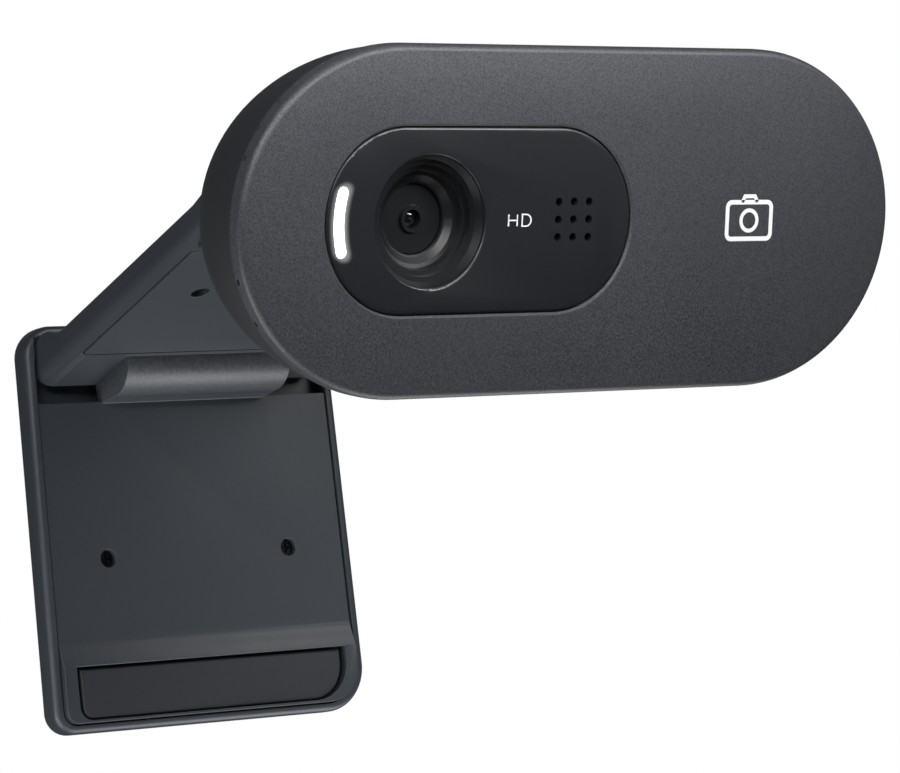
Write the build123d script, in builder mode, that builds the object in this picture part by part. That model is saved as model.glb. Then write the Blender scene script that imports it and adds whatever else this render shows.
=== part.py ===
from build123d import *
import os
from math import atan2, cos, degrees, radians, sin, sqrt

# Webcam on a folding monitor clip, in millimetres.
# The origin is the centre of the arm's underside, which rests on a monitor's top edge.
# +X runs along the head's long side, -Y is the way the lens looks, +Z is up.
# The stored pose has the head upright, the arm sloping back and down, the leg hanging.

# ---- Driving dimensions: head ----
FACE_Y = -52.4            # face plane
HEAD_Z = 13.52            # height of the head's long axis
HEAD_W = 73.0
HEAD_H = 31.34
END_A = 16.91             # half ellipse at each end, along X
PLATE_T = 1.45            # faceplate thickness
RIM_D = 1.75              # depth of the front shell's side band
RIM_T = 1.3
SEAM = 0.2                # hairline between front and rear shells
FACE_ROUND = 0.7
BACK_D = 16.2             # depth of the flat back
DOME_R = 17.0             # dome: inward reach and depth of its quarter curve
DOME_D = 18.0
DOME_POWER = 2.3          # 2 would be an ellipse, more is squarer
SHELL_T = 1.4
NOTCH_TURNS = [62, 51.5, 41.5, 31.5, 21, -19, -34]   # degrees up from the end's middle

BEZEL_X = -11.04
BEZEL_Z = 0.12
BEZEL_W = 33.26
BEZEL_H = 16.57
BEZEL_GAP = 0.08
BEZEL_D = 0.15
BEZEL_T = 1.9
LENS_X = -16.5
LENS_Z = 0.06
LENS_R = 5.89
LED_R = 9.75              # light pipe arc, concentric with the lens
LED_SPAN = 30.5
LED_W = 1.15
MIC_X = -0.85
MIC_Z = 0.12
MIC_PITCH_X = 1.70
MIC_PITCH_Z = 1.60
MIC_HOLE_R = 0.385

DISC_D = 3.3              # depth of the lens barrel's front disc
BARREL_R = 3.1
BOARD_D = 11.2
BOARD_T = 1.0
BOARD_L = 56.0
BOARD_H = 18.0
SHELL_POSTS = [(24.0, 5.5), (24.0, -5.5)]     # board posts on the front shell
BEZEL_POSTS = [(-23.4, 5.0), (-23.4, -4.8)]   # and on the bezel's back
POST_R = 1.5
SCREW_R = 0.7
SHELL_SCREW_X = 30.8

# ---- Driving dimensions: clip arm ----
ARM_SLOPE = 31.2
ARM_HALF = 16.9
ARM_T = 3.2
COVER_HALF = 15.8
COVER_FRONT = -13.9
COVER_REAR = 9.4
COVER_T = 1.0
COVER_GAP = 0.12
COVER_SCREW_X = 9.8
COVER_SCREW_S = -4.65
ROOT_S = 10.2             # the arm's plate ends here between the ears
HINGE_S = 14.07
HINGE_H = 1.27
EAR_R = 3.2
EAR_IN = 10.35
EDGE_UNDER = 1.7          # round along the arm's lower side edges
PIN_R = 0.9
PIN_FIT = 0.03
LIP_HALF = 12.0
LIP_S = -15.8
RIDGE_OUT = 16.2          # low ridges carry the lip's line out to the arm's sides
RIDGE_DROP = 0.5
LIP_T = 1.5
LIP_DROP = 3.0
TILT_Y = -30.4
TILT_Z = 21.52
TILT_R = 3.0
LUG_HALF = 8.0
LUG_R = 3.1
WASHER_T = 0.35
WASHER_FIT = 0.02

# ---- Driving dimensions: clip leg ----
LEG_LEAN = 14.4
LEG_HALF_TOP = 18.3       # half width at the top, growing to the foot
LEG_HALF = 18.85
LEG_TOP = -4.1
LEG_BOTTOM = 37.3
RIM_W = 2.1               # rim plane behind the hinge axis
RIM_ROUND = 0.6
LEG_BACK_W = 6.2
LEG_BACK_ROUND = 2.4
PANEL_W = 2.25
PANEL_INSET = 1.1         # rim's width at each side of the panel
PANEL_T = 1.1
PANEL_TOP = 3.8
PANEL_BOTTOM = 36.3
PANEL_GAP = 0.16
EAR_RECESS_W = 4.1        # floor behind the ears
EAR_RECESS_TOP = -2.3
TROUGH_R = 3.75           # round hollow behind the ears and the knuckle
KNUCKLE_R = 3.6
KNUCKLE_HALF = 9.8
LEG_SCREW_X = 10.9
LEG_SCREW_T = 19.85
RAMP_T = 28.4             # the foot's front swells forward from here
FOOT_T = 30.5
FOOT_W = 1.5
PAD_TOP = 30.9
PAD_BOTTOM = 35.95
PAD_W = 1.8
PAD_BASE = 3.0
PAD_HALF = 15.7
PAD_GAP_X = 0.5
PAD_GAP_T = 0.3
LEG_TOP_ROUND = 3.2       # corner radii of the leg's outline, pocket and recess
LEG_FOOT_ROUNDS = (2.2, 4.8)
POCKET_ROUNDS = (1.4, 4.0)
RECESS_ROUND = 2.2

SLOPE = radians(ARM_SLOPE)
LEAN = radians(LEG_LEAN)


def arm_point(s, h):
    """Side view point of the arm: s runs back along the underside, h up from it."""
    return (s * cos(SLOPE) + h * sin(SLOPE), h * cos(SLOPE) - s * sin(SLOPE))


HINGE_Y, HINGE_Z = arm_point(HINGE_S, HINGE_H)


def leg_point(t, w):
    """Side view point of the leg: t runs down from the hinge axis, w back from it."""
    return (HINGE_Y - t * sin(LEAN) + w * cos(LEAN), HINGE_Z - t * cos(LEAN) - w * sin(LEAN))


FACE = Plane(origin=(0, FACE_Y, HEAD_Z), x_dir=(1, 0, 0), z_dir=(0, -1, 0))
LENS = Plane(origin=(LENS_X, FACE_Y, HEAD_Z + LENS_Z), x_dir=(1, 0, 0), z_dir=(0, -1, 0))
ARM = Plane(origin=(0, 0, 0), x_dir=(1, 0, 0), z_dir=(0, sin(SLOPE), cos(SLOPE)))
LEG = Plane(origin=(0, HINGE_Y, HINGE_Z), x_dir=(1, 0, 0), z_dir=(0, -cos(LEAN), sin(LEAN)))
SIDE = Plane.YZ
LED_ARC = CenterArc((0, 0), LED_R, 180 - LED_SPAN / 2, LED_SPAN)


def pill(inset):
    """The head's outline, moved inwards: two straight sides and two half ellipses."""
    half = HEAD_H / 2 - inset
    reach = END_A - inset
    centre = HEAD_W / 2 - END_A
    Rectangle(2 * centre, 2 * half)
    with GridLocations(2 * centre, 0, 2, 1):
        Ellipse(reach, half)


def dome_inset(depth):
    """How far the rear shell has drawn in at this depth: a quarter of a rounded square."""
    return DOME_R * (1 - (1 - (depth / DOME_D) ** DOME_POWER) ** (1 / DOME_POWER))


def axis_plane(y, z, x):
    """A plane across the X axis at a hinge, facing +X."""
    return Plane(origin=(x, y, z), x_dir=(0, 1, 0), z_dir=(1, 0, 0))


# ---------------------------------------------------------------- head: front
with BuildPart() as front_shell:
    with BuildSketch(FACE):
        pill(0)
    extrude(amount=-RIM_D)
    fillet(front_shell.faces().sort_by(Axis.Y)[0].edges(), FACE_ROUND)
    with BuildSketch(FACE.offset(-PLATE_T)):
        pill(RIM_T)
    extrude(amount=-RIM_D, mode=Mode.SUBTRACT)
    with BuildSketch(FACE.offset(-PLATE_T)):
        with Locations(*SHELL_POSTS):
            Circle(POST_R)
    extrude(amount=PLATE_T - BOARD_D)
    with BuildSketch(FACE.offset(-PLATE_T)):
        with GridLocations(2 * SHELL_SCREW_X, 0, 2, 1):
            Circle(1.8)
    extrude(amount=PLATE_T - 9.0)
    with BuildSketch(FACE):
        with Locations((BEZEL_X, BEZEL_Z)):
            SlotOverall(BEZEL_W + 2 * BEZEL_GAP, BEZEL_H + 2 * BEZEL_GAP)
    extrude(amount=-PLATE_T, mode=Mode.SUBTRACT)
    chamfer(front_shell.edges(Select.LAST).group_by(Axis.Y)[0], 0.2)
    with BuildSketch(FACE.offset(-BOARD_D)):
        with Locations(*SHELL_POSTS):
            Circle(SCREW_R)
    extrude(amount=4.2, mode=Mode.SUBTRACT)
    with BuildSketch(FACE.offset(-9.0)):
        with GridLocations(2 * SHELL_SCREW_X, 0, 2, 1):
            Circle(0.65)
    extrude(amount=4.0, mode=Mode.SUBTRACT)
    with BuildSketch(FACE.offset(0.45 - RIM_D)):
        for side in (-1, 1):
            for turn_deg in NOTCH_TURNS:
                turn = radians(turn_deg)
                x = side * (HEAD_W / 2 - END_A + END_A * cos(turn))
                z = HEAD_H / 2 * sin(turn)
                lean = degrees(atan2(sin(turn) / HEAD_H * 2 * END_A, cos(turn)))
                with Locations((x, z)):
                    Rectangle(0.6, 0.5, rotation=side * lean)
    extrude(amount=-0.3, mode=Mode.SUBTRACT)
front_shell.part.label = "front_shell"

with BuildPart() as bezel:
    with BuildSketch(FACE.offset(-BEZEL_D)):
        with Locations((BEZEL_X, BEZEL_Z)):
            SlotOverall(BEZEL_W, BEZEL_H)
    extrude(amount=-BEZEL_T)
    fillet(bezel.faces().sort_by(Axis.Y)[0].edges(), 0.3)
    with BuildSketch(LENS):
        Circle(LENS_R)
    extrude(amount=-5, mode=Mode.SUBTRACT)
    fillet(bezel.edges().filter_by(GeomType.CIRCLE).group_by(Axis.Y)[0], 0.25)
    with BuildSketch(LENS):
        SlotArc(LED_ARC, LED_W)
    extrude(amount=-5, mode=Mode.SUBTRACT)
    with BuildSketch(FACE):
        with Locations((MIC_X, MIC_Z)):
            with GridLocations(MIC_PITCH_X, MIC_PITCH_Z, 3, 3):
                Circle(MIC_HOLE_R)
    extrude(amount=-5, mode=Mode.SUBTRACT)
    with BuildSketch(FACE.offset(-BEZEL_D - BEZEL_T)):
        with Locations(*BEZEL_POSTS):
            Circle(POST_R)
            Circle(SCREW_R, mode=Mode.SUBTRACT)
    extrude(amount=BEZEL_D + BEZEL_T - BOARD_D)
bezel.part.label = "bezel"

with BuildPart() as microphone_mesh:
    with BuildSketch(FACE.offset(-BEZEL_D - BEZEL_T)):
        with Locations((MIC_X, MIC_Z)):
            RectangleRounded(6.0, 5.6, 1.0)
    extrude(amount=-0.2)
microphone_mesh.part.label = "microphone_mesh"

with BuildPart() as microphone_gasket:
    with BuildSketch(FACE.offset(-BEZEL_D - BEZEL_T - 0.2)):
        with Locations((MIC_X, MIC_Z)):
            RectangleRounded(6.0, 5.6, 1.0)
    extrude(amount=BEZEL_D + BEZEL_T + 0.2 - 10.1)
    with BuildSketch(FACE):
        with Locations((MIC_X, MIC_Z)):
            Circle(0.9)
    extrude(amount=-12, mode=Mode.SUBTRACT)
microphone_gasket.part.label = "microphone_gasket"

with BuildPart() as microphone:
    with BuildSketch(FACE.offset(-BOARD_D)):
        with Locations((MIC_X, MIC_Z)):
            Rectangle(3.5, 2.65)
    extrude(amount=1.1)
microphone.part.label = "microphone"

with BuildPart() as led_light_pipe:
    with BuildSketch(LENS.offset(-0.1)):
        SlotArc(LED_ARC, LED_W - 0.06)
    extrude(amount=-9.0)
    fillet(led_light_pipe.faces().sort_by(Axis.Y)[0].edges(), 0.2)
led_light_pipe.part.label = "led_light_pipe"

with BuildPart() as led_chips:
    with BuildSketch(LENS.offset(-BOARD_D)):
        with Locations((-LED_R + 0.3, 1.9), (-LED_R + 0.3, -1.9)):
            Rectangle(0.9, 1.7)
    extrude(amount=0.8)
led_chips.part.label = "led_chips"

# ---------------------------------------------------------------- head: lens
CONE = [
    (5.85, 0.45), (5.45, 1.20), (4.98, 1.25), (4.92, 1.75), (4.45, 1.80), (4.30, 2.40),
    (3.95, 2.50), (3.40, 3.00), (3.20, 3.05), (3.20, 4.4), (6.6, 4.4), (6.6, 2.15),
    (5.85, 2.15),
]
with BuildPart() as lens_cone:
    with BuildSketch(Plane(origin=LENS.origin, x_dir=(1, 0, 0), z_dir=(0, 0, 1))):
        Polygon(*CONE, align=None)
    revolve(axis=Axis(LENS.origin, (0, 1, 0)), revolution_arc=360)
lens_cone.part.label = "lens_cone"

BARREL = [
    (0.85, DISC_D - 0.25), (1.2, DISC_D - 0.25), (1.3, DISC_D), (BARREL_R, DISC_D),
    (BARREL_R, 9.4), (2.4, 9.4), (2.4, 4.2), (0.85, 4.2),
]
with BuildPart() as lens_barrel:
    with BuildSketch(Plane(origin=LENS.origin, x_dir=(1, 0, 0), z_dir=(0, 0, 1))):
        Polygon(*BARREL, align=None)
    revolve(axis=Axis(LENS.origin, (0, 1, 0)), revolution_arc=360)
lens_barrel.part.label = "lens_barrel"

with BuildPart() as lens_front_glass:
    with BuildSketch(Plane(origin=LENS.origin, x_dir=(1, 0, 0), z_dir=(0, 0, 1))):
        with BuildLine():
            ThreePointArc((0, 3.35), (0.42, 3.43), (0.8, 3.68))
            Polyline((0.8, 3.68), (0.8, 4.2), (2.38, 4.2), (2.38, 5.2), (0, 5.2), (0, 3.35))
        make_face()
    revolve(axis=Axis(LENS.origin, (0, 1, 0)), revolution_arc=360)
lens_front_glass.part.label = "lens_front_glass"

with BuildPart() as lens_rear_glass:
    with BuildSketch(Plane(origin=LENS.origin, x_dir=(1, 0, 0), z_dir=(0, 0, 1))):
        Polygon((0, 6.2), (1.3, 6.35), (2.38, 6.8), (2.38, 7.2), (1.3, 7.65), (0, 7.8), align=None)
    revolve(axis=Axis(LENS.origin, (0, 1, 0)), revolution_arc=360)
lens_rear_glass.part.label = "lens_rear_glass"

with BuildPart() as lens_holder:
    with BuildSketch(LENS.offset(-BOARD_D)):
        RectangleRounded(10.0, 10.0, 0.8)
    extrude(amount=2.0)
    with BuildSketch(LENS.offset(-BOARD_D + 2.0)):
        Circle(4.4)
    extrude(amount=4.2)
    with BuildSketch(LENS.offset(-BOARD_D)):
        Rectangle(7.6, 7.6)
    extrude(amount=1.5, mode=Mode.SUBTRACT)
    with BuildSketch(LENS.offset(-BOARD_D + 1.5)):
        Circle(BARREL_R)
    extrude(amount=6.0, mode=Mode.SUBTRACT)
lens_holder.part.label = "lens_holder"

with BuildPart() as ir_filter:
    with BuildSketch(LENS.offset(-BOARD_D + 1.1)):
        Rectangle(7.4, 7.4)
    extrude(amount=0.3)
ir_filter.part.label = "ir_filter"

with BuildPart() as image_sensor:
    with BuildSketch(LENS.offset(-BOARD_D)):
        Rectangle(6.2, 6.2)
    extrude(amount=0.9)
image_sensor.part.label = "image_sensor"

# ---------------------------------------------------------------- head: board
with BuildPart() as main_board:
    with BuildSketch(FACE.offset(-BOARD_D)):
        RectangleRounded(BOARD_L, BOARD_H, 6.0)
        with Locations(*SHELL_POSTS, *BEZEL_POSTS):
            Circle(0.85, mode=Mode.SUBTRACT)
    extrude(amount=-BOARD_T)
main_board.part.label = "main_board"

with BuildPart() as image_chip:
    with BuildSketch(FACE.offset(-BOARD_D)):
        with Locations((13.0, 1.0)):
            Rectangle(7.0, 7.0)
    extrude(amount=0.9)
    chamfer(image_chip.faces().sort_by(Axis.Y)[0].edges(), 0.1)
image_chip.part.label = "image_chip"

with BuildPart() as board_connector:
    with BuildSketch(FACE.offset(-BOARD_D - BOARD_T)):
        with Locations((12.5, 0)):
            Rectangle(7.5, 3.6)
    extrude(amount=-2.2)
    with BuildSketch(FACE.offset(-BOARD_D - BOARD_T - 2.2)):
        with Locations((12.5, 0)):
            Rectangle(6.3, 1.6)
    extrude(amount=1.6, mode=Mode.SUBTRACT)
board_connector.part.label = "board_connector"

with BuildPart() as board_screws:
    with BuildSketch(FACE.offset(-BOARD_D - BOARD_T)):
        with Locations(*SHELL_POSTS, *BEZEL_POSTS):
            Circle(1.4)
    extrude(amount=-0.9)
    with BuildSketch(FACE.offset(-BOARD_D - BOARD_T)):
        with Locations(*SHELL_POSTS, *BEZEL_POSTS):
            Circle(SCREW_R)
    extrude(amount=4.8)
    with BuildSketch(FACE.offset(-BOARD_D - BOARD_T - 0.9)):
        with Locations(*SHELL_POSTS, *BEZEL_POSTS):
            Rectangle(1.7, 0.4)
            Rectangle(0.4, 1.7)
    extrude(amount=0.5, mode=Mode.SUBTRACT)
board_screws.part.label = "board_screws"

# ---------------------------------------------------------------- head: rear shell
DOME_STEPS = [RIM_D + SEAM, 5.5, 8.5, 11.2, 13.4, 15.1, BACK_D]
with BuildPart() as rear_shell:
    for depth in DOME_STEPS:
        with BuildSketch(FACE.offset(-depth)):
            pill(dome_inset(depth) + 0.12)
    loft()
    with BuildSketch(SIDE):
        Polygon(
            (FACE_Y + 11.0, TILT_Z - LUG_R),
            (TILT_Y, TILT_Z - LUG_R),
            (TILT_Y, TILT_Z + LUG_R),
            (FACE_Y + 11.0, TILT_Z + LUG_R),
            align=None,
        )
        with Locations((TILT_Y, TILT_Z)):
            Circle(LUG_R)
    extrude(amount=LUG_HALF, both=True)
    for depth in [RIM_D + SEAM, 5.5, 8.5, 11.2, 13.4, BACK_D - SHELL_T]:
        with BuildSketch(FACE.offset(-depth)):
            pill(dome_inset(depth) + SHELL_T + 0.12)
    loft(mode=Mode.SUBTRACT)
    with BuildSketch(FACE.offset(-9.05)):
        with GridLocations(2 * SHELL_SCREW_X, 0, 2, 1):
            Circle(1.95)
    extrude(amount=-2.0)
    with BuildSketch(FACE.offset(-10.6)):
        with GridLocations(2 * SHELL_SCREW_X, 0, 2, 1):
            Circle(1.5)
    extrude(amount=-8.0, mode=Mode.SUBTRACT)
    with BuildSketch(FACE.offset(-9.0)):
        with GridLocations(2 * SHELL_SCREW_X, 0, 2, 1):
            Circle(0.75)
    extrude(amount=-3.0, mode=Mode.SUBTRACT)
    with BuildSketch(axis_plane(TILT_Y, TILT_Z, 0)):
        Circle(PIN_R + PIN_FIT)
    extrude(amount=ARM_HALF, both=True, mode=Mode.SUBTRACT)
    with BuildSketch(FACE.offset(-12.0)):
        with Locations((22.0, 0)):
            Circle(2.0)
    extrude(amount=-8.0, mode=Mode.SUBTRACT)
rear_shell.part.label = "rear_shell"

with BuildPart() as shell_screws:
    with BuildSketch(FACE.offset(-10.6)):
        with GridLocations(2 * SHELL_SCREW_X, 0, 2, 1):
            Circle(1.35)
    extrude(amount=-0.9)
    with BuildSketch(FACE.offset(-10.6)):
        with GridLocations(2 * SHELL_SCREW_X, 0, 2, 1):
            Circle(0.65)
    extrude(amount=5.4)
    with BuildSketch(FACE.offset(-11.5)):
        with GridLocations(2 * SHELL_SCREW_X, 0, 2, 1):
            Rectangle(1.6, 0.4)
            Rectangle(0.4, 1.6)
    extrude(amount=0.5, mode=Mode.SUBTRACT)
shell_screws.part.label = "shell_screws"

GLAND = [
    (1.6, 13.6), (2.9, 13.6), (2.9, 14.8), (1.95, 14.8), (1.95, 16.2), (3.1, 16.2),
    (3.1, 17.2), (2.6, 17.6), (2.5, 18.3), (2.1, 18.3), (2.1, 18.8), (2.45, 18.8),
    (2.4, 19.6), (2.05, 19.6), (2.05, 20.1), (2.35, 20.1), (2.25, 21.2), (1.6, 21.2),
]
GLAND_AT = Vector(22.0, FACE_Y, HEAD_Z)
with BuildPart() as cable_gland:
    with BuildSketch(Plane(origin=GLAND_AT, x_dir=(1, 0, 0), z_dir=(0, 0, 1))):
        Polygon(*GLAND, align=None)
    revolve(axis=Axis(GLAND_AT, (0, 1, 0)), revolution_arc=360)
cable_gland.part.label = "cable_gland"

# ---------------------------------------------------------------- clip: arm
with BuildPart() as arm_upper_shell:
    with BuildSketch(SIDE):
        Polygon(
            arm_point(ROOT_S, 0),
            arm_point(ROOT_S, ARM_T),
            arm_point(-17.6, ARM_T),
            (TILT_Y + TILT_R * sin(radians(39)), TILT_Z + TILT_R * cos(radians(39))),
            (TILT_Y - 0.4, TILT_Z - TILT_R + 0.03),
            arm_point(LIP_S - LIP_T, 0),
            align=None,
        )
        with Locations((TILT_Y, TILT_Z)):
            Circle(TILT_R)
    extrude(amount=ARM_HALF, both=True)
    with BuildSketch(SIDE):
        Polygon(
            arm_point(ROOT_S - 3, 0),
            arm_point(ROOT_S - 3, ARM_T),
            arm_point(HINGE_S - 1, ARM_T),
            arm_point(HINGE_S, 0),
            align=None,
        )
        with Locations((HINGE_Y, HINGE_Z)):
            Circle(EAR_R)
        Polygon(
            arm_point(ROOT_S - 3, 0),
            arm_point(HINGE_S + 6, 0),
            arm_point(HINGE_S + 6, -4),
            arm_point(ROOT_S - 3, -4),
            align=None,
            mode=Mode.SUBTRACT,
        )
    extrude(amount=ARM_HALF, both=True)
    side_edges = arm_upper_shell.edges().filter_by(
        lambda e: abs(abs(e.center().X) - ARM_HALF) < 0.01
    )
    fillet(
        side_edges.filter_by(
            lambda e: abs(e.center().Y * sin(SLOPE) + e.center().Z * cos(SLOPE)) < 0.05
        ),
        EDGE_UNDER,
    )
    # slot between the ears for the leg's knuckle
    with BuildSketch(axis_plane(HINGE_Y, HINGE_Z, 0)):
        Circle(KNUCKLE_R + 0.4)
    extrude(amount=EAR_IN, both=True, mode=Mode.SUBTRACT)
    with BuildSketch(ARM):
        with Locations((0, ROOT_S + 6)):
            Rectangle(2 * EAR_IN, 12)
    extrude(amount=8, both=True, mode=Mode.SUBTRACT)
    # slot for the head's lug
    with BuildSketch(axis_plane(TILT_Y, TILT_Z, 0)):
        Circle(LUG_R + 0.5)
    extrude(amount=LUG_HALF + WASHER_T + WASHER_FIT, both=True, mode=Mode.SUBTRACT)
    with BuildSketch(axis_plane(TILT_Y, TILT_Z, 0)):
        with Locations((-5, 0)):
            Rectangle(10, 9)
    extrude(amount=LUG_HALF + WASHER_T + WASHER_FIT, both=True, mode=Mode.SUBTRACT)
    # lip that hooks over the monitor's front edge
    with BuildSketch(ARM):
        with Locations((0, LIP_S - LIP_T / 2)):
            RectangleRounded(2 * LIP_HALF, LIP_T, 0.6)
    extrude(amount=-LIP_DROP)
    with BuildSketch(ARM):
        with Locations((0, LIP_S - LIP_T / 2)):
            RectangleRounded(2 * LIP_HALF, LIP_T, 0.6)
    extrude(amount=1.2)
    with BuildSketch(ARM):
        with GridLocations(LIP_HALF - 0.5 + RIDGE_OUT, 0, 2, 1):
            with Locations((0, LIP_S - LIP_T / 2 + 0.25)):
                RectangleRounded(RIDGE_OUT - LIP_HALF + 0.6, 1.5, 0.3)
    extrude(amount=-RIDGE_DROP)
    # recess of the underside cover, and the hollow above it
    with BuildSketch(ARM):
        with Locations((0, (COVER_FRONT + COVER_REAR) / 2)):
            RectangleRounded(2 * (COVER_HALF + COVER_GAP), COVER_REAR - COVER_FRONT + 2 * COVER_GAP, 0.6)
    extrude(amount=COVER_T, mode=Mode.SUBTRACT)
    with BuildSketch(ARM):
        with Locations((0, (COVER_FRONT + COVER_REAR) / 2)):
            RectangleRounded(2 * COVER_HALF - 3, COVER_REAR - COVER_FRONT - 3, 0.6)
        with GridLocations(2 * COVER_SCREW_X, 0, 2, 1):
            with Locations((0, COVER_SCREW_S)):
                Circle(1.7, mode=Mode.SUBTRACT)
    extrude(amount=ARM_T - 1.2, mode=Mode.SUBTRACT)
    with BuildSketch(ARM):
        with Locations((COVER_SCREW_X, COVER_SCREW_S), (-COVER_SCREW_X, COVER_SCREW_S)):
            Circle(0.5)
    extrude(amount=2.4, mode=Mode.SUBTRACT)
    # pin holes
    with BuildSketch(axis_plane(HINGE_Y, HINGE_Z, 0)):
        Circle(PIN_R)
    extrude(amount=ARM_HALF - 0.8, both=True, mode=Mode.SUBTRACT)
    with BuildSketch(axis_plane(TILT_Y, TILT_Z, 0)):
        Circle(PIN_R)
    extrude(amount=ARM_HALF - 0.8, both=True, mode=Mode.SUBTRACT)
arm_upper_shell.part.label = "arm_upper_shell"

with BuildPart() as arm_lower_cover:
    with BuildSketch(ARM):
        with Locations((0, (COVER_FRONT + COVER_REAR) / 2)):
            RectangleRounded(2 * COVER_HALF, COVER_REAR - COVER_FRONT, 0.5)
        with Locations((COVER_SCREW_X, COVER_SCREW_S), (-COVER_SCREW_X, COVER_SCREW_S)):
            Circle(0.95, mode=Mode.SUBTRACT)
    extrude(amount=COVER_T)
arm_lower_cover.part.label = "arm_lower_cover"

with BuildPart() as arm_cover_screws:
    with BuildSketch(ARM.offset(COVER_T - 0.5)):
        with Locations((COVER_SCREW_X, COVER_SCREW_S), (-COVER_SCREW_X, COVER_SCREW_S)):
            Circle(0.9)
    extrude(amount=0.5)
    with BuildSketch(ARM.offset(COVER_T)):
        with Locations((COVER_SCREW_X, COVER_SCREW_S), (-COVER_SCREW_X, COVER_SCREW_S)):
            Circle(0.5)
    extrude(amount=1.3)
    with BuildSketch(ARM.offset(COVER_T - 0.5)):
        with Locations((COVER_SCREW_X, COVER_SCREW_S), (-COVER_SCREW_X, COVER_SCREW_S)):
            Rectangle(1.1, 0.25)
            Rectangle(0.25, 1.1)
    extrude(amount=0.25, mode=Mode.SUBTRACT)
arm_cover_screws.part.label = "arm_cover_screws"

with BuildPart() as front_lip_pad:
    with BuildSketch(ARM.offset(-LIP_DROP + 0.2)):
        with Locations((0, LIP_S + 0.35)):
            Rectangle(2 * LIP_HALF - 1.6, 0.7)
    extrude(amount=LIP_DROP - 0.2)
front_lip_pad.part.label = "front_lip_pad"

with BuildPart() as tilt_pin:
    with BuildSketch(axis_plane(TILT_Y, TILT_Z, 0)):
        Circle(PIN_R)
    extrude(amount=ARM_HALF - 0.85, both=True)
tilt_pin.part.label = "tilt_pin"

with BuildPart() as tilt_washers:
    for side in (-1, 1):
        with BuildSketch(axis_plane(TILT_Y, TILT_Z, side * (LUG_HALF + 0.01 + WASHER_T / 2))):
            Circle(2.3)
            Circle(PIN_R, mode=Mode.SUBTRACT)
        extrude(amount=WASHER_T / 2, both=True)
tilt_washers.part.label = "tilt_washers"

with BuildPart() as hinge_pin:
    with BuildSketch(axis_plane(HINGE_Y, HINGE_Z, 0)):
        Circle(PIN_R)
    extrude(amount=ARM_HALF - 0.85, both=True)
hinge_pin.part.label = "hinge_pin"

# ---------------------------------------------------------------- clip: leg
LEG_LONG = LEG_BOTTOM - LEG_TOP
PANEL_MID = (PANEL_TOP + PANEL_BOTTOM) / 2
PANEL_LONG = PANEL_BOTTOM - PANEL_TOP


def leg_half(t):
    """Half the leg's width at t: it grows evenly from the top to the foot."""
    return LEG_HALF_TOP + (LEG_HALF - LEG_HALF_TOP) * (t - LEG_TOP) / LEG_LONG


def tapered(top, bottom, inset):
    """A four-sided outline between two heights of the leg, set in from its sides."""
    Polygon(
        (inset - leg_half(top), -top),
        (leg_half(top) - inset, -top),
        (leg_half(bottom) - inset, -bottom),
        (inset - leg_half(bottom), -bottom),
        align=None,
    )


def low_corners(sketch, left, right):
    """Rounds a leg outline's two lower corners: the left one is the tighter."""
    low = sketch.vertices().group_by(Axis.Y)[0].sort_by(Axis.X)
    fillet(low[0], left)
    fillet(sketch.vertices().sort_by(lambda v: v.Y - v.X)[0], right)


with BuildPart() as leg_shell:
    with BuildSketch(LEG.offset(-RIM_W)) as leg_outline:
        tapered(LEG_TOP, LEG_BOTTOM, 0)
        fillet(leg_outline.vertices().group_by(Axis.Y)[-1], LEG_TOP_ROUND)
        low_corners(leg_outline, *LEG_FOOT_ROUNDS)
    extrude(amount=RIM_W - LEG_BACK_W)
    fillet(leg_shell.faces().sort_by(Axis(LEG.origin, LEG.z_dir))[0].edges(), LEG_BACK_ROUND)
    fillet(leg_shell.faces().sort_by(Axis(LEG.origin, LEG.z_dir))[-1].edges(), RIM_ROUND)
    # pocket for the front panel
    with BuildSketch(LEG) as pocket:
        tapered(PANEL_TOP - PANEL_GAP, PANEL_BOTTOM + PANEL_GAP, PANEL_INSET - PANEL_GAP)
        low_corners(pocket, *POCKET_ROUNDS)
    extrude(amount=-PANEL_W - PANEL_T, mode=Mode.SUBTRACT)
    # recess that the arm's ears turn in
    with BuildSketch(LEG) as ear_recess:
        tapered(EAR_RECESS_TOP, PANEL_TOP + 0.5, PANEL_INSET - PANEL_GAP)
        fillet(ear_recess.vertices().group_by(Axis.Y)[-1], RECESS_ROUND)
    extrude(amount=-EAR_RECESS_W, mode=Mode.SUBTRACT)
    with BuildSketch(axis_plane(HINGE_Y, HINGE_Z, 0)):
        Circle(TROUGH_R)
    extrude(amount=leg_half(0) - PANEL_INSET, both=True, mode=Mode.SUBTRACT)
    # hollow behind the panel, with the two screw bosses
    with BuildSketch(LEG.offset(-PANEL_W - PANEL_T)):
        with Locations((0, -PANEL_MID)):
            Rectangle(2 * LEG_HALF_TOP - 6, PANEL_LONG - 9)
        with Locations((LEG_SCREW_X, -LEG_SCREW_T), (-LEG_SCREW_X, -LEG_SCREW_T)):
            Circle(1.9, mode=Mode.SUBTRACT)
    extrude(amount=-0.9, mode=Mode.SUBTRACT)
    with BuildSketch(LEG.offset(-PANEL_W)):
        with Locations((LEG_SCREW_X, -LEG_SCREW_T), (-LEG_SCREW_X, -LEG_SCREW_T)):
            Circle(0.5)
    extrude(amount=-2.5, mode=Mode.SUBTRACT)
leg_shell.part.label = "leg_shell"

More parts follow.
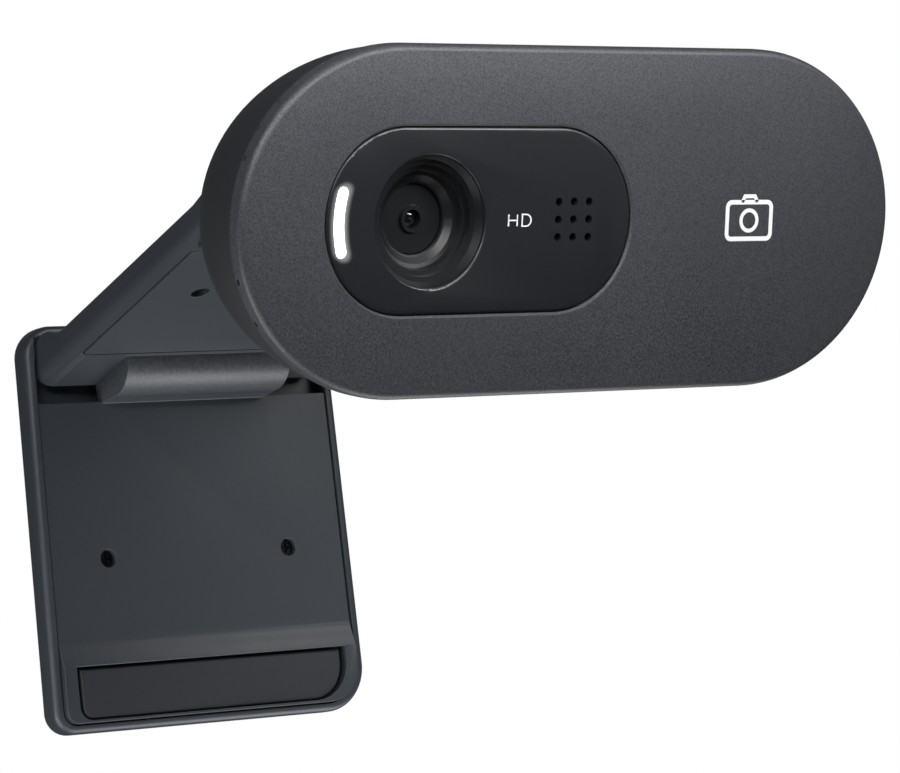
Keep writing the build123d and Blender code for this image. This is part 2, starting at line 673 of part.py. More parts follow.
with BuildPart() as leg_front_panel:
    with BuildSketch(LEG.offset(-FOOT_W)) as panel:
        tapered(PANEL_TOP, PANEL_BOTTOM, PANEL_INSET)
        low_corners(panel, 1.27, 3.87)
    extrude(amount=FOOT_W - PANEL_W - PANEL_T)
    # flat above, ramping forward to the foot
    with BuildSketch(SIDE) as above_ramp:
        Polygon(
            leg_point(PANEL_TOP - 1, FOOT_W - 1),
            leg_point(PANEL_TOP - 1, PANEL_W),
            leg_point(RAMP_T, PANEL_W),
            leg_point(FOOT_T, FOOT_W),
            leg_point(FOOT_T + 2, FOOT_W - 1),
            align=None,
        )
        fillet(above_ramp.vertices().sort_by_distance((*leg_point(RAMP_T, PANEL_W), 0))[0], 5.0)
    extrude(amount=LEG_HALF, both=True, mode=Mode.SUBTRACT)
    # pocket that the pad sits in
    with BuildSketch(LEG) as pad_pocket:
        with Locations((0, -(PAD_TOP - PAD_GAP_T + PAD_BOTTOM + 0.05) / 2)):
            Rectangle(2 * (PAD_HALF + PAD_GAP_X), PAD_BOTTOM + 0.05 - PAD_TOP + PAD_GAP_T)
        low_corners(pad_pocket, 1.4, 4.0)
    extrude(amount=-PAD_BASE, mode=Mode.SUBTRACT)
    # knuckle barrel in front of the panel's top, running down into the panel
    with BuildSketch(SIDE):
        with Locations((HINGE_Y, HINGE_Z)):
            Circle(KNUCKLE_R)
        Polygon(
            (HINGE_Y, HINGE_Z),
            leg_point(0, PANEL_W + PANEL_T),
            leg_point(PANEL_TOP + 0.2, PANEL_W + PANEL_T),
            leg_point(PANEL_TOP + 0.2, PANEL_W),
            (HINGE_Y - KNUCKLE_R * sin(radians(16)), HINGE_Z - KNUCKLE_R * cos(radians(16))),
            align=None,
        )
    extrude(amount=KNUCKLE_HALF, both=True)
    with BuildSketch(axis_plane(HINGE_Y, HINGE_Z, 0)):
        Circle(PIN_R + PIN_FIT)
    extrude(amount=KNUCKLE_HALF, both=True, mode=Mode.SUBTRACT)
    with BuildSketch(axis_plane(HINGE_Y, HINGE_Z, 0)):
        Circle(2.2)
    extrude(amount=4.0, both=True, mode=Mode.SUBTRACT)
    with BuildSketch(LEG.offset(-PANEL_W)):
        with Locations((LEG_SCREW_X, -LEG_SCREW_T), (-LEG_SCREW_X, -LEG_SCREW_T)):
            Circle(0.9)
    extrude(amount=-PANEL_T, mode=Mode.SUBTRACT)
leg_front_panel.part.label = "leg_front_panel"

with BuildPart() as hinge_spring:
    with BuildSketch(axis_plane(HINGE_Y, HINGE_Z, 0)):
        Circle(2.2)
        Circle(PIN_R + PIN_FIT, mode=Mode.SUBTRACT)
        with Locations((0, -2)):
            Rectangle(0.5, 3, mode=Mode.SUBTRACT)
    extrude(amount=3.9, both=True)
hinge_spring.part.label = "hinge_spring"

with BuildPart() as leg_screws:
    with BuildSketch(LEG.offset(-PANEL_W - PANEL_T + 0.5)):
        with Locations((LEG_SCREW_X, -LEG_SCREW_T), (-LEG_SCREW_X, -LEG_SCREW_T)):
            Circle(0.85)
    extrude(amount=-0.5)
    with BuildSketch(LEG.offset(-PANEL_W - PANEL_T)):
        with Locations((LEG_SCREW_X, -LEG_SCREW_T), (-LEG_SCREW_X, -LEG_SCREW_T)):
            Circle(0.5)
    extrude(amount=-1.3)
    with BuildSketch(LEG.offset(-PANEL_W - PANEL_T + 0.5)):
        with Locations((LEG_SCREW_X, -LEG_SCREW_T), (-LEG_SCREW_X, -LEG_SCREW_T)):
            Rectangle(1.0, 0.25)
            Rectangle(0.25, 1.0)
    extrude(amount=-0.25, mode=Mode.SUBTRACT)
leg_screws.part.label = "leg_screws"

with BuildPart() as foot_pad:
    with BuildSketch(LEG.offset(-PAD_W)) as pad:
        with Locations((0, -(PAD_TOP + PAD_BOTTOM) / 2)):
            Rectangle(2 * PAD_HALF, PAD_BOTTOM - PAD_TOP)
        low_corners(pad, 1.2, 3.7)
    extrude(amount=PAD_W - PAD_BASE)
    fillet(foot_pad.faces().sort_by(Axis(LEG.origin, LEG.z_dir))[-1].edges(), 0.3)
foot_pad.part.label = "foot_pad"

PIECES = [
    front_shell, bezel, microphone_mesh, microphone_gasket, microphone, led_light_pipe,
    led_chips, lens_cone, lens_barrel, lens_front_glass, lens_rear_glass, lens_holder,
    ir_filter, image_sensor, main_board, image_chip, board_connector, board_screws,
    rear_shell, shell_screws, cable_gland, arm_upper_shell, arm_lower_cover,
    arm_cover_screws, front_lip_pad, tilt_pin, tilt_washers, hinge_pin, leg_shell,
    leg_front_panel, hinge_spring, leg_screws, foot_pad,
]
os.makedirs("parts", exist_ok=True)
for piece in PIECES:
    export_step(piece.part, "parts/" + piece.part.label + ".step")
    print(piece.part.label, len(piece.part.solids()), round(piece.part.volume, 2))
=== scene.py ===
# %% [markdown]
# # A webcam on its monitor clip
# This lesson dresses the CAD model of a small webcam in Blender. The CAD nodes give every
# piece its true size and place. Here they get soft edges, moulded-plastic finishes, and a
# plain white studio. Everything is in metres, in the CAD model's own frame: +X runs along
# the camera's long side, -Y is the way the lens looks, and +Z is up.

from math import cos, radians, sin

import bmesh
import bpy
import numpy as np
from mathutils import Matrix, Vector


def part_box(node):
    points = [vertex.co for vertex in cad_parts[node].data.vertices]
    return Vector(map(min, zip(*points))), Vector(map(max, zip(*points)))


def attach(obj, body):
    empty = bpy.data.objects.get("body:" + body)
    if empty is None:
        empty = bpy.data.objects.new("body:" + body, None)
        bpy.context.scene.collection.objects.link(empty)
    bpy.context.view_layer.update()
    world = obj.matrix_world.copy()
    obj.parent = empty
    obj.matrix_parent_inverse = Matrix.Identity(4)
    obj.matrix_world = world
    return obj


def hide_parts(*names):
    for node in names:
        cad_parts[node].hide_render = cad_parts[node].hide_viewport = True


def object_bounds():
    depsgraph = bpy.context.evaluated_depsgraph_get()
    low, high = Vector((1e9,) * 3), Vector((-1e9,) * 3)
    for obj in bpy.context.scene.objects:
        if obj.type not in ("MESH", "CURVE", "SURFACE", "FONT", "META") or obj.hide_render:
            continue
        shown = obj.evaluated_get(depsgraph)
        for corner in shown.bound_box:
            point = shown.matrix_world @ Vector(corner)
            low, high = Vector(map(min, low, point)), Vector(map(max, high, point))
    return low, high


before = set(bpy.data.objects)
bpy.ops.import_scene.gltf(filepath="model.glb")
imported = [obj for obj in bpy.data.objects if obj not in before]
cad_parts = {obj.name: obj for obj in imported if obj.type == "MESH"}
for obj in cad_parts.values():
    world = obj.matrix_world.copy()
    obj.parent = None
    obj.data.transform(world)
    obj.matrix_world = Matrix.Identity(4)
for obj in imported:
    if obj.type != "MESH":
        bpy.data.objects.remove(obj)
cad_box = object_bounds()
MM = 0.001
print("nodes", len(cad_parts), "box", cad_box)


# %% [markdown]
# ## Small helpers
# Colours are chosen as sRGB hex values, which is how a paint chart gives them, and turned
# to linear light once. One function adds any shader node, sets its values and fills its
# inputs, either from another node's output or with a constant.

# %% Helpers for colours and nodes
def linear(hex_colour):
    """sRGB hex to linear RGBA: a short straight toe, then a power of 2.4."""
    parts = [int(hex_colour[i:i + 2], 16) / 255 for i in (1, 3, 5)]
    lit = [c / 12.92 if c <= 0.04045 else ((c + 0.055) / 1.055) ** 2.4 for c in parts]
    return (*lit, 1.0)


def add(tree, kind, links=(), **values):
    """Adds one node. values go to sockets or properties by name; links holds pairs of a
    socket, by name or number, and the output or constant that fills it."""
    node = tree.nodes.new(kind)
    for name, value in values.items():
        socket = name.replace("_", " ")
        if hasattr(node, name) and socket not in node.inputs:
            setattr(node, name, value)
        else:
            node.inputs[socket].default_value = value
    for socket, source in links:
        if isinstance(source, bpy.types.NodeSocket):
            tree.links.new(source, node.inputs[socket])
        else:
            node.inputs[socket].default_value = source
    return node


def new_material(name):
    """An empty material with its output and Object coordinates, ready for a finish."""
    material = bpy.data.materials.new(name)
    material.use_nodes = True
    tree = material.node_tree
    tree.nodes.clear()
    where = add(tree, "ShaderNodeTexCoord").outputs["Object"]
    return material, tree, where


def finish_with(tree, shader):
    """Sends a shader to the material's output."""
    add(tree, "ShaderNodeOutputMaterial", links=[("Surface", shader.outputs[0])])


print("charcoal is", [round(c, 3) for c in linear("#3a3c40")])


# %% [markdown]
# ## Moulded plastics
# Most of the webcam is ABS. The mould was spark eroded, so the surface is a fine grain of
# tiny pits that turns gloss to satin. The faceplate also has a metallic fleck in it. Grain is
# given by its spacing in millimetres: noise scale is one over that spacing in metres. The real
# spacing is about a tenth of a millimetre, too fine to show from here, so it is drawn a
# little coarser.

# %% One recipe for grained plastic
PATCH_MM = 14             # a moulding's gloss drifts over about this distance
PATCH_NOISE = (0.3, 0.7)  # the range that the patch noise mostly keeps to
GLOSS_DRIFT = 0.03
PLASTIC_IOR = 1.5
MIX_A, MIX_B = 6, 7       # a Mix node's two colour inputs


def grained_plastic(name, colour, fleck, roughness, grain_mm, depth_mm, contrast=0.3):
    """A spark-eroded grain: noise mixes the colour with a paler fleck and lifts a bump."""
    material, tree, where = new_material(name)
    grain = add(
        tree, "ShaderNodeTexNoise", links=[("Vector", where)],
        Scale=1 / (grain_mm * MM), Detail=2.0, Roughness=0.6,
    )
    patches = add(
        tree, "ShaderNodeTexNoise", links=[("Vector", where)],
        Scale=1 / (PATCH_MM * MM), Detail=1.0,
    )
    spread = add(
        tree, "ShaderNodeMapRange", links=[("Value", grain.outputs["Fac"])],
        From_Min=0.5 - contrast, From_Max=0.5 + contrast,
    )
    tint = add(
        tree, "ShaderNodeMix", data_type="RGBA",
        links=[("Factor", spread.outputs[0]), (MIX_A, linear(colour)), (MIX_B, linear(fleck))],
    )
    rough = add(
        tree, "ShaderNodeMapRange", links=[("Value", patches.outputs["Fac"])],
        From_Min=PATCH_NOISE[0], From_Max=PATCH_NOISE[1],
        To_Min=roughness - GLOSS_DRIFT, To_Max=roughness + GLOSS_DRIFT,
    )
    bump = add(
        tree, "ShaderNodeBump", links=[("Height", grain.outputs["Fac"])],
        Strength=1.0, Distance=depth_mm * MM,
    )
    shader = add(
        tree, "ShaderNodeBsdfPrincipled",
        links=[
            ("Base Color", tint.outputs[2]), ("Roughness", rough.outputs[0]),
            ("Normal", bump.outputs[0]),
        ],
        IOR=PLASTIC_IOR,
    )
    finish_with(tree, shader)
    return material


# Faceplate: ABS with metallic fleck, textured mould. A warm charcoal that shimmers finely.
face_abs = grained_plastic("charcoal_abs_fleck", "#1e2024", "#45474c", 0.5, 0.17, 0.009, 0.22)
# Rear shell: the same texture without the fleck. Darker, and duller at a grazing look.
shell_abs = grained_plastic("dark_abs_spark_grain", "#131518", "#26292d", 0.6, 0.2, 0.010)
# Clip: ABS from a finer mould. Smoother and bluer, so it shows broad soft reflections.
clip_abs = grained_plastic("blue_grey_abs_satin", "#2a2e33", "#33383d", 0.42, 0.16, 0.003)
# Knuckle: ABS with a coarse grain, which sparkles along its highlight. Its tone is paler than
# the clip's, and that paler tone is painted highlight.
knuckle_abs_painted_highlight = grained_plastic("blue_grey_abs_coarse_painted_highlight", "#26292d", "#4a4d52", 0.42, 0.3, 0.012)
# Bezel: ABS from a nearly polished mould. Even and almost black, but for a painted glow round
# the light pipe that is added below.
bezel_abs = grained_plastic("near_black_abs_smooth", "#191b1e", "#1d1f22", 0.35, 0.3, 0.0005)
# Lens cone and barrel: black ABS, matt so that stray light dies between its steps.
baffle_abs = grained_plastic("black_abs_baffle", "#08090b", "#16181c", 0.42, 0.12, 0.003)
# Pads, gasket and gland: silicone rubber. Even, soft highlights with no clear edge.
pad_rubber = grained_plastic("black_silicone_rubber", "#1f2226", "#272a2e", 0.5, 0.2, 0.002)


# %% [markdown]
# ## Metal, glass, light and board
# The small parts are too small to show a grain: turned steel pins, blackened screws, coated
# glass, a clear plastic light pipe, a lacquered board. A plain finish is enough for them,
# with a slight unevenness of gloss that handling leaves, and each metal keeps Blender's IOR.

# %% Metals, glass, light and board
WEAR_MM = 1.5             # size of the marks that handling leaves
WEAR_SPREAD = 0.2         # how far they move the roughness, as a share of it


def plain(name, colour, roughness, metallic=0.0, **more):
    """A finish with only a faint, fine variation of roughness from handling."""
    material, tree, where = new_material(name)
    wear = add(
        tree, "ShaderNodeTexNoise", links=[("Vector", where)],
        Scale=1 / (WEAR_MM * MM), Detail=3.0,
    )
    rough = add(
        tree, "ShaderNodeMapRange", links=[("Value", wear.outputs["Fac"])],
        To_Min=roughness * (1 - WEAR_SPREAD), To_Max=roughness * (1 + WEAR_SPREAD),
    )
    shader = add(
        tree, "ShaderNodeBsdfPrincipled", links=[("Roughness", rough.outputs[0])],
        Base_Color=linear(colour), Metallic=metallic, **more,
    )
    finish_with(tree, shader)
    return material


# Ground steel is bright and sharp. Blackened steel keeps only a dull metal edge.
pin_steel = plain("ground_steel", "#b9babc", 0.22, 1.0)
screw_steel = plain("blackened_steel", "#2a2b2d", 0.4, 1.0)
# Polycarbonate, milky with the light that comes through it.
light_pipe = plain("lit_white_polycarbonate", "#ffffff", 0.3, Emission_Color=(1, 1, 1, 1))
# Glass of a high index under a coat: nearly black, with one small clear glint.
lens_glass = plain(
    "coated_lens_glass", "#0b0d12", 0.05, IOR=1.6, Coat_Weight=1.0, Coat_Roughness=0.03,
)
# Inside the head: green lacquer, chips cast in epoxy, and nylon moulded half gloss.
board_mask = plain("green_solder_mask", "#0f3a22", 0.3)
chip_epoxy = plain("black_epoxy", "#141414", 0.5)
nylon_white = plain("white_nylon", "#c9c8c2", 0.5)
# Woven steel seen through small holes: dark, with the faintest metal sheen.
mesh_steel = plain("steel_mesh", "#1b1c1e", 0.5, 0.6)

FINISH = {
    "front_shell": face_abs, "rear_shell": shell_abs, "bezel": bezel_abs,
    "microphone_mesh": mesh_steel, "microphone_gasket": pad_rubber, "microphone": pin_steel,
    "led_light_pipe": light_pipe, "led_chips": light_pipe,
    "lens_cone": baffle_abs, "lens_barrel": baffle_abs, "lens_holder": baffle_abs,
    "lens_front_glass": lens_glass, "lens_rear_glass": lens_glass, "ir_filter": lens_glass,
    "image_sensor": chip_epoxy, "image_chip": chip_epoxy, "main_board": board_mask,
    "board_connector": nylon_white, "board_screws": pin_steel, "shell_screws": screw_steel,
    "cable_gland": pad_rubber, "arm_upper_shell": clip_abs, "arm_lower_cover": clip_abs,
    "arm_cover_screws": screw_steel, "front_lip_pad": pad_rubber, "tilt_pin": pin_steel,
    "tilt_washers": nylon_white, "hinge_pin": pin_steel, "leg_shell": clip_abs,
    "leg_front_panel": clip_abs, "hinge_spring": pin_steel, "leg_screws": screw_steel,
    "foot_pad": pad_rubber,
}
for node, material in FINISH.items():
    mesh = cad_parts[node].data
    mesh.materials.clear()
    mesh.materials.append(material)
print("finishes", len(set(FINISH.values())))

# %% [markdown]
# ## Painted glow round the light pipe
# The light pipe is a crescent let into the bezel. Dark ABS is a little translucent; the light
# that leaks into it is painted as a glow on a narrow band of the bezel round the crescent.
# The crescent is an arc about the lens's axis, so a point's distance from the arc is its
# distance from the axis less the arc's radius. Past the arc's ends its height above them is
# added, by Pythagoras, and the painted glow fades with the total.
# The pipe itself is clad on its sides, so it shines only near its front.

# %% Painted glow round the light pipe
PIPE_HALF_WIDTH_MM = 0.55
PAINTED_GLOW_MM = (0.4, 1.15)     # the glow is full at the first distance and gone at the second
PAINTED_GLOW_STRENGTH = 0.3
PIPE_LIT_MM = (1.0, 2.0)  # the same for the pipe's own light, by depth
PIPE_STRENGTH = 3.0


def middle(node):
    """The middle of a node's box, in metres."""
    low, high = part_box(node)
    return [(a + b) / 2 for a, b in zip(low, high)]


def opened(material):
    """A material's tree, its Object coordinates and its main shader."""
    nodes = {node.bl_idname: node for node in material.node_tree.nodes}
    where = nodes["ShaderNodeTexCoord"].outputs["Object"]
    return material.node_tree, where, nodes["ShaderNodeBsdfPrincipled"]


lens_axis = middle("lens_cone")
pipe_low, pipe_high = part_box("led_light_pipe")
pipe_radius = lens_axis[0] - pipe_low[0] - PIPE_HALF_WIDTH_MM * MM
pipe_straight = (pipe_high[2] - pipe_low[2]) / 2 - PIPE_HALF_WIDTH_MM * MM

# The bezel's emission is painted light: a glow that fades with distance from the lit crescent.
tree, where, shader = opened(bezel_abs)
from_lens = add(
    tree, "ShaderNodeVectorMath", [(0, where), (1, lens_axis)], operation="SUBTRACT",
)
in_plane = add(
    tree, "ShaderNodeVectorMath", [(0, from_lens.outputs[0]), (1, (1, 0, 1))],
    operation="MULTIPLY",
)
reach = add(
    tree, "ShaderNodeVectorMath", [(0, in_plane.outputs[0])], operation="LENGTH",
)
off_arc = add(
    tree, "ShaderNodeMath", [(0, reach.outputs["Value"]), (1, pipe_radius)],
    operation="SUBTRACT",
)
place = add(tree, "ShaderNodeSeparateXYZ", [("Vector", from_lens.outputs[0])])
height = add(tree, "ShaderNodeMath", [(0, place.outputs["Z"])], operation="ABSOLUTE")
over = add(
    tree, "ShaderNodeMath", [(0, height.outputs[0]), (1, pipe_straight)], operation="SUBTRACT",
)
past_end = add(tree, "ShaderNodeMath", [(0, over.outputs[0]), (1, 0.0)], operation="MAXIMUM")
legs = add(tree, "ShaderNodeCombineXYZ", [(0, off_arc.outputs[0]), (1, past_end.outputs[0])])
distance = add(tree, "ShaderNodeVectorMath", [(0, legs.outputs[0])], operation="LENGTH")
fade = add(
    tree, "ShaderNodeMapRange", [("Value", distance.outputs["Value"])],
    interpolation_type="SMOOTHSTEP", From_Min=PAINTED_GLOW_MM[0] * MM, From_Max=PAINTED_GLOW_MM[1] * MM,
    To_Min=PAINTED_GLOW_STRENGTH, To_Max=0.0,
)
# the crescent is on one side of the lens only
left = add(tree, "ShaderNodeMath", [(0, place.outputs["X"]), (1, 0.0)], operation="LESS_THAN")
painted_glow = add(
    tree, "ShaderNodeMath", [(0, fade.outputs[0]), (1, left.outputs[0])], operation="MULTIPLY",
)
shader.inputs["Emission Color"].default_value = (1, 1, 1, 1)
tree.links.new(painted_glow.outputs[0], shader.inputs["Emission Strength"])

tree, where, shader = opened(light_pipe)
place = add(tree, "ShaderNodeSeparateXYZ", [("Vector", where)])
front_light = add(
    tree, "ShaderNodeMapRange", [("Value", place.outputs["Y"])],
    interpolation_type="SMOOTHSTEP", From_Min=pipe_low[1] + PIPE_LIT_MM[0] * MM,
    From_Max=pipe_low[1] + PIPE_LIT_MM[1] * MM, To_Min=PIPE_STRENGTH, To_Max=0.0,
)
tree.links.new(front_light.outputs[0], shader.inputs["Emission Strength"])
print("light pipe arc", round(pipe_radius / MM, 2), "mm radius")

# %% [markdown]
# ## Soft edges
# No moulded edge is perfectly sharp: each has a radius of a few hundredths to a tenth of a
# millimetre that catches a thin line of light. The CAD meshes are loose triangles, so each
# visible one is copied, its doubles are merged, flat faces are joined, and a small Bevel
# rounds its edges.


# %% Softened copies of the visible CAD nodes
MERGE_MM = 0.002          # corners closer than this are one corner
FLAT_DEG = 1.0            # faces that turn less than this are one face
SHARP_DEG = 30            # edges that turn more than this are rounded
BEVEL_STEPS = 3


def softened(node, radius_mm, body):
    """A merged copy of a CAD node with rounded edges, which stands for it and rides its body."""
    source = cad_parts[node]
    piece = bpy.data.objects.new(node + "_soft", source.data.copy())
    bpy.context.collection.objects.link(piece)
    shape = bmesh.new()
    shape.from_mesh(piece.data)
    bmesh.ops.remove_doubles(shape, verts=shape.verts, dist=MERGE_MM * MM)
    bmesh.ops.dissolve_limit(
        shape, angle_limit=radians(FLAT_DEG), verts=shape.verts, edges=shape.edges,
    )
    shape.to_mesh(piece.data)
    shape.free()
    piece.data.shade_smooth()
    bevel = piece.modifiers.new("soft edge", "BEVEL")
    bevel.width = radius_mm * MM
    bevel.segments = BEVEL_STEPS
    bevel.limit_method = "ANGLE"
    bevel.angle_limit = radians(SHARP_DEG)
    bevel.harden_normals = True
    piece.data.set_sharp_from_angle(angle=radians(SHARP_DEG))
    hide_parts(node)
    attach(piece, body)
    return piece


soft = {}
for node, radius, body in (
    ("front_shell", 0.04, "head"), ("rear_shell", 0.06, "head"), ("bezel", 0.03, "head"),
    ("arm_upper_shell", 0.12, "arm"), ("arm_lower_cover", 0.06, "arm"),
    ("leg_shell", 0.08, "leg"), ("leg_front_panel", 0.08, "leg"), ("foot_pad", 0.08, "leg"),
):
    soft[node] = softened(node, radius, body)
    print(soft[node].name, len(soft[node].data.polygons), "faces")

# %% [markdown]
# The knuckle is the leg's hinge barrel. It was moulded against a coarser spark finish than
# the flat panel below it, so its faces, the ones within reach of the hinge axis, take a
# second material slot. That slot is also paler than the clip's plastic: a painted highlight.

# %% Coarser grain and painted highlight on the knuckle
KNUCKLE_REACH_MM = 3.8
pin_low, pin_high = (np.array(corner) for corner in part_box("hinge_pin"))
hinge_axis = (pin_low + pin_high) / 2
panel_mesh = soft["leg_front_panel"].data
centres = np.empty(3 * len(panel_mesh.polygons))
panel_mesh.polygons.foreach_get("center", centres)
centres = centres.reshape(-1, 3)
from_axis = np.hypot(centres[:, 1] - hinge_axis[1], centres[:, 2] - hinge_axis[2])
on_knuckle = from_axis < KNUCKLE_REACH_MM * MM
# the second slot's paler tone is painted highlight on the knuckle
panel_mesh.materials.append(knuckle_abs_painted_highlight)
panel_mesh.polygons.foreach_set("material_index", on_knuckle.astype(np.int32))
panel_mesh.update()
print("knuckle faces", int(on_knuckle.sum()))

# %% [markdown]
# ## Printed marks
# White ink is printed by pad on the bezel and on the face: the letters HD beside the lens,
# and a plain outline of a camera at the face's far end. Ink is a film far thinner than any
# CAD wall, so it is made here: each stroke is a flat ribbon carried along a path, offset by
# half its width to each side, and lifted a few hundredths of a millimetre off the plastic.

# %% Ribbons of ink
INK_MM = 0.03             # thickness of the film
INK_PROUD_MM = 0.02       # how far its middle stands off the plastic
# Pad ink: a flat white, half gloss from the lacquer in it.
white_ink = plain("white_pad_ink", "#e8e9ea", 0.45)


def ribbon(path_mm, width_mm, closed=False):
    """Verts and quads of a flat ribbon: each path point goes half a width along its mitre."""
    path = np.asarray(path_mm, dtype=float)
    if closed:
        before, after = np.roll(path, 1, axis=0), np.roll(path, -1, axis=0)
    else:
        before = np.vstack((2 * path[0] - path[1], path[:-1]))
        after = np.vstack((path[1:], 2 * path[-1] - path[-2]))
    into, out_of = path - before, after - path
    into /= np.linalg.norm(into, axis=1, keepdims=True)
    out_of /= np.linalg.norm(out_of, axis=1, keepdims=True)
    mitre = into + out_of
    mitre /= np.linalg.norm(mitre, axis=1, keepdims=True)
    side = np.stack((-mitre[:, 1], mitre[:, 0]), axis=1)
    square = np.stack((-into[:, 1], into[:, 0]), axis=1)
    reach = width_mm / 2 / np.sum(side * square, axis=1, keepdims=True)
    points = np.vstack((path + side * reach, path - side * reach))
    count = len(path)
    first = np.arange(count if closed else count - 1)
    following = (first + 1) % count
    quads = np.stack((first, first + count, following + count, following), axis=1)
    return points, quads


def printed(name, strokes, centre_mm, depth_mm):
    """Joins ribbons into one film of ink on the plastic at this depth, riding the head."""
    points, quads, start = [], [], 0
    for path, width, closed in strokes:
        spots, cells = ribbon(path, width, closed)
        points.append(spots)
        quads.append(cells + start)
        start += len(spots)
    flat = np.vstack(points) + np.asarray(centre_mm)
    # x stays, the drawing's y is the object's z, and y is just proud of the plastic
    level = np.full(len(flat), face_y_mm + depth_mm - INK_PROUD_MM)
    place = np.stack((flat[:, 0], level, face_z_mm + flat[:, 1]), axis=1)
    mesh = bpy.data.meshes.new(name)
    mesh.from_pydata((place * MM).tolist(), [], np.vstack(quads).tolist())
    mesh.materials.append(white_ink)
    piece = bpy.data.objects.new(name, mesh)
    bpy.context.collection.objects.link(piece)
    film = piece.modifiers.new("film", "SOLIDIFY")
    film.thickness = INK_MM * MM
    film.offset = 0
    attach(piece, "head")
    return piece


def arc(centre, radius, start_deg, end_deg, count=24):
    """Points along an arc: the centre plus the radius times the turn's cosine and sine."""
    turn = np.radians(np.linspace(start_deg, end_deg, count))
    across, up = centre[0] + radius * np.cos(turn), centre[1] + radius * np.sin(turn)
    return np.stack((across, up), axis=1)


face_low, face_high = (np.array(corner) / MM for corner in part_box("front_shell"))
face_y_mm = face_low[1]
face_z_mm = (face_low[2] + face_high[2]) / 2
bezel_depth_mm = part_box("bezel")[0][1] / MM - face_y_mm
print("face plane", round(face_y_mm, 2), "bezel set back", round(bezel_depth_mm, 2))

# %% HD beside the lens, a camera outline on the face
CAP, PEN = 1.04, 0.13                # letter height and stroke width
H_WIDTH = 0.95
D_STEM, D_BOWL = 1.5, 1.95           # the D's upright and the centre of its round
letters = [
    ([(0, 0), (0, CAP)], PEN, False), ([(H_WIDTH, 0), (H_WIDTH, CAP)], PEN, False),
    ([(0, CAP / 2), (H_WIDTH, CAP / 2)], PEN, False),
    (
        np.vstack(([(D_STEM, 0)], arc((D_BOWL, CAP / 2), CAP / 2, -90, 90), [(D_STEM, CAP)])),
        PEN, True,
    ),
]
hd_mark = printed("hd_mark", letters, (-8.1, -0.42), bezel_depth_mm)

CASE_X, CASE_Y, CASE_ROUND = 2.1, 1.2, 0.5   # corner centres and radius of the camera's case
LENS_RING = 0.95
HUMP_FOOT, HUMP_TOP = 0.9, 0.6               # half widths of the finder's hump
HUMP_LOW, HUMP_HIGH = 1.7, 2.25
CASE_PEN, THIN_PEN = 0.42, 0.36
case = np.vstack((
    arc((CASE_X, CASE_Y), CASE_ROUND, 0, 90, 8), arc((-CASE_X, CASE_Y), CASE_ROUND, 90, 180, 8),
    arc((-CASE_X, -CASE_Y), CASE_ROUND, 180, 270, 8),
    arc((CASE_X, -CASE_Y), CASE_ROUND, 270, 360, 8),
))
hump = [
    (-HUMP_FOOT, HUMP_LOW), (-HUMP_TOP, HUMP_HIGH), (HUMP_TOP, HUMP_HIGH), (HUMP_FOOT, HUMP_LOW),
]
outline = [
    (case, CASE_PEN, True), (arc((0, 0), LENS_RING, 0, 345, 40), THIN_PEN, True),
    (hump, THIN_PEN, False),
]
camera_mark = printed("camera_mark", outline, (19.4, -0.15), 0.0)
print("marks", len(hd_mark.data.polygons) + len(camera_mark.data.polygons), "quads")

# %% [markdown]
# ## Studio
# The webcam is a held thing: in use a monitor carries it. So it floats over a plain white
# floor. The floor is a self-lit card that no diffuse or mirrored ray meets, which keeps it
# from throwing light up at the dark undersides. The world is the same: white where the
# camera looks straight at it, and only a faint light in the room for every other ray.

# %% Floor and world
FLOOR_HALF_M = 40.0
FLOOR_DROP_M = 0.12
ROOM_LIGHT = 0.04
floor_mesh = bpy.data.meshes.new("floor")
turns = ((-1, -1), (1, -1), (1, 1), (-1, 1))
floor_corners = [(FLOOR_HALF_M * x, FLOOR_HALF_M * y, 0) for x, y in turns]
floor_mesh.from_pydata(floor_corners, [], [(0, 1, 2, 3)])
floor_mesh.transform(Matrix.Translation((0, 0, cad_box[0][2] - FLOOR_DROP_M)))
floor = bpy.data.objects.new("floor", floor_mesh)
bpy.context.collection.objects.link(floor)
floor.visible_diffuse = False
floor.visible_glossy = False
floor_paint, floor_tree, _ = new_material("white_card")
finish_with(floor_tree, add(floor_tree, "ShaderNodeEmission", Color=(1, 1, 1, 1), Strength=1.0))
floor_mesh.materials.append(floor_paint)

world = bpy.data.worlds.new("studio")
world.use_nodes = True
world_tree = world.node_tree
backdrop = world_tree.nodes["Background"]
backdrop.inputs["Color"].default_value = (1, 1, 1, 1)
rays = add(world_tree, "ShaderNodeLightPath")
seen = add(
    world_tree, "ShaderNodeMapRange", [("Value", rays.outputs["Is Camera Ray"])],
    To_Min=ROOM_LIGHT, To_Max=1.0,
)
world_tree.links.new(seen.outputs[0], backdrop.inputs["Strength"])
bpy.context.scene.world = world
print("floor at", round(cad_box[0][2] - FLOOR_DROP_M, 3), "m")

# %% [markdown]
# ## Lights
# Dark plastic is shown by what it reflects. A large softbox to the front right gives the
# face its slow fall from light to dark, and a narrow strip close over it draws the bright
# line along the top edge. Small lamps low down and to the left bring up the clip, and two
# behind only fill the back: they give no reflection, so they don't wash out the head's edge.


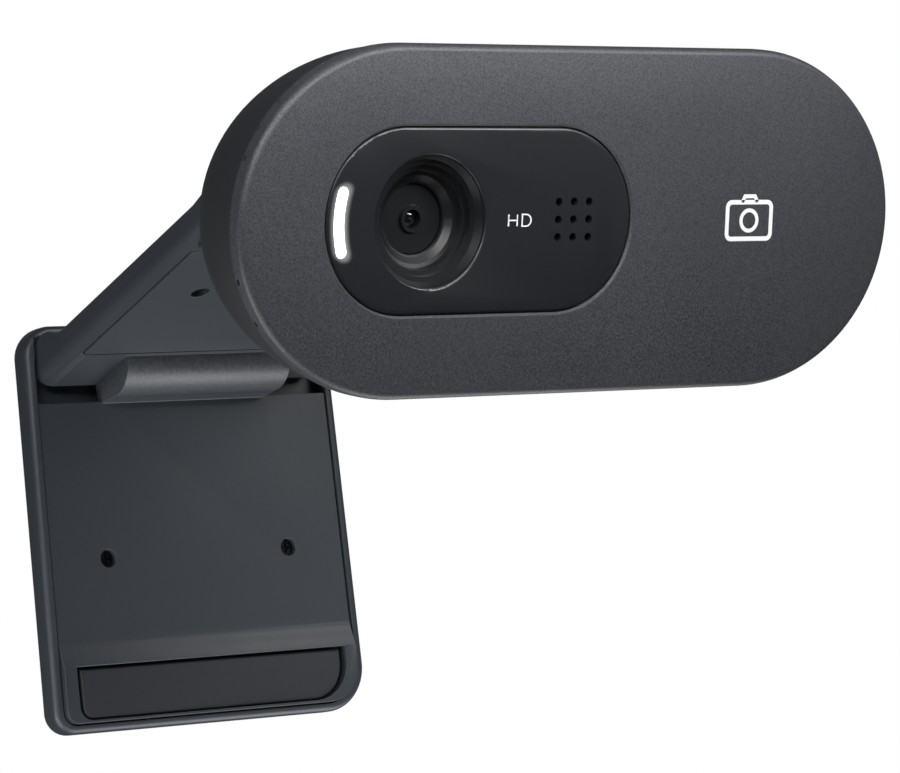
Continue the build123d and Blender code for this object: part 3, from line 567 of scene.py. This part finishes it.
# %% Lights
def softbox(name, at_mm, towards_mm, size_mm, watts, glossy=True):
    """A rectangular area light at a place, turned to face another, both in millimetres."""
    lamp = bpy.data.lights.new(name, "AREA")
    lamp.shape = "RECTANGLE"
    lamp.size, lamp.size_y = (s * MM for s in size_mm)
    lamp.energy = watts
    holder = bpy.data.objects.new(name, lamp)
    place = Vector(at_mm) * MM
    aim = Vector(towards_mm) * MM - place
    turn = aim.to_track_quat("-Z", "Y").to_matrix().to_4x4()
    holder.matrix_world = Matrix.Translation(place) @ turn
    bpy.context.collection.objects.link(holder)
    holder.visible_camera = False
    holder.visible_glossy = glossy
    return holder


softbox("front right", (160, -230, 200), (0, -50, 10), (120, 120), 0.45)
softbox("near top strip", (-10, -85, 49), (-4, -52, 15), (140, 10), 0.055)
softbox("below the head", (-70, -50, -75), (0, 5, -15), (80, 60), 0.065)
softbox("below right", (40, -50, -95), (0, 8, -20), (100, 60), 0.095)
softbox("left of the arm", (-110, -20, -60), (0, 8, -20), (50, 50), 0.05)
softbox("front left", (-230, -190, 150), (-16, -50, 13), (50, 50), 0.28)
softbox("back top", (60, 240, 110), (0, -20, 0), (160, 120), 1.6, glossy=False)
softbox("back right", (260, 120, -20), (0, -20, 0), (140, 140), 1.0, glossy=False)
print("lights", len(bpy.data.lights))

# %% [markdown]
# ## Camera
# A long lens, a little above the webcam and well to its left, rolled slightly. The camera
# stands back from the point it aims at along a direction given by its yaw and elevation.

# %% Camera
YAW, ELEVATION, ROLL = 35.6, 6.47, 2.37
DISTANCE_MM = 380.84
LENS_MM = 171.9
SENSOR_MM = 36.0
NEAR_M, FAR_M = 0.01, 200
AIM_MM = Vector((-13.86, -52.4, -1.07))

yaw, elevation, roll = radians(YAW), radians(ELEVATION), radians(ROLL)
back = Vector((-sin(yaw) * cos(elevation), -cos(yaw) * cos(elevation), sin(elevation)))
right = (-back).cross(Vector((0, 0, 1))).normalized()
up = right.cross(-back)
turned_right = right * cos(roll) + up * sin(roll)
turned_up = up * cos(roll) - right * sin(roll)
pose = Matrix((turned_right, turned_up, back)).transposed().to_4x4()
camera_data = bpy.data.cameras.new("camera")
camera_data.lens = LENS_MM
camera_data.sensor_width = SENSOR_MM
camera_data.clip_start = NEAR_M
camera_data.clip_end = FAR_M
camera = bpy.data.objects.new("camera", camera_data)
camera.matrix_world = Matrix.Translation((AIM_MM + back * DISTANCE_MM) * MM) @ pose
bpy.context.collection.objects.link(camera)
bpy.context.scene.camera = camera
bpy.context.scene.view_settings.view_transform = "Standard"
print("camera at", tuple(round(c, 4) for c in camera.matrix_world.translation))
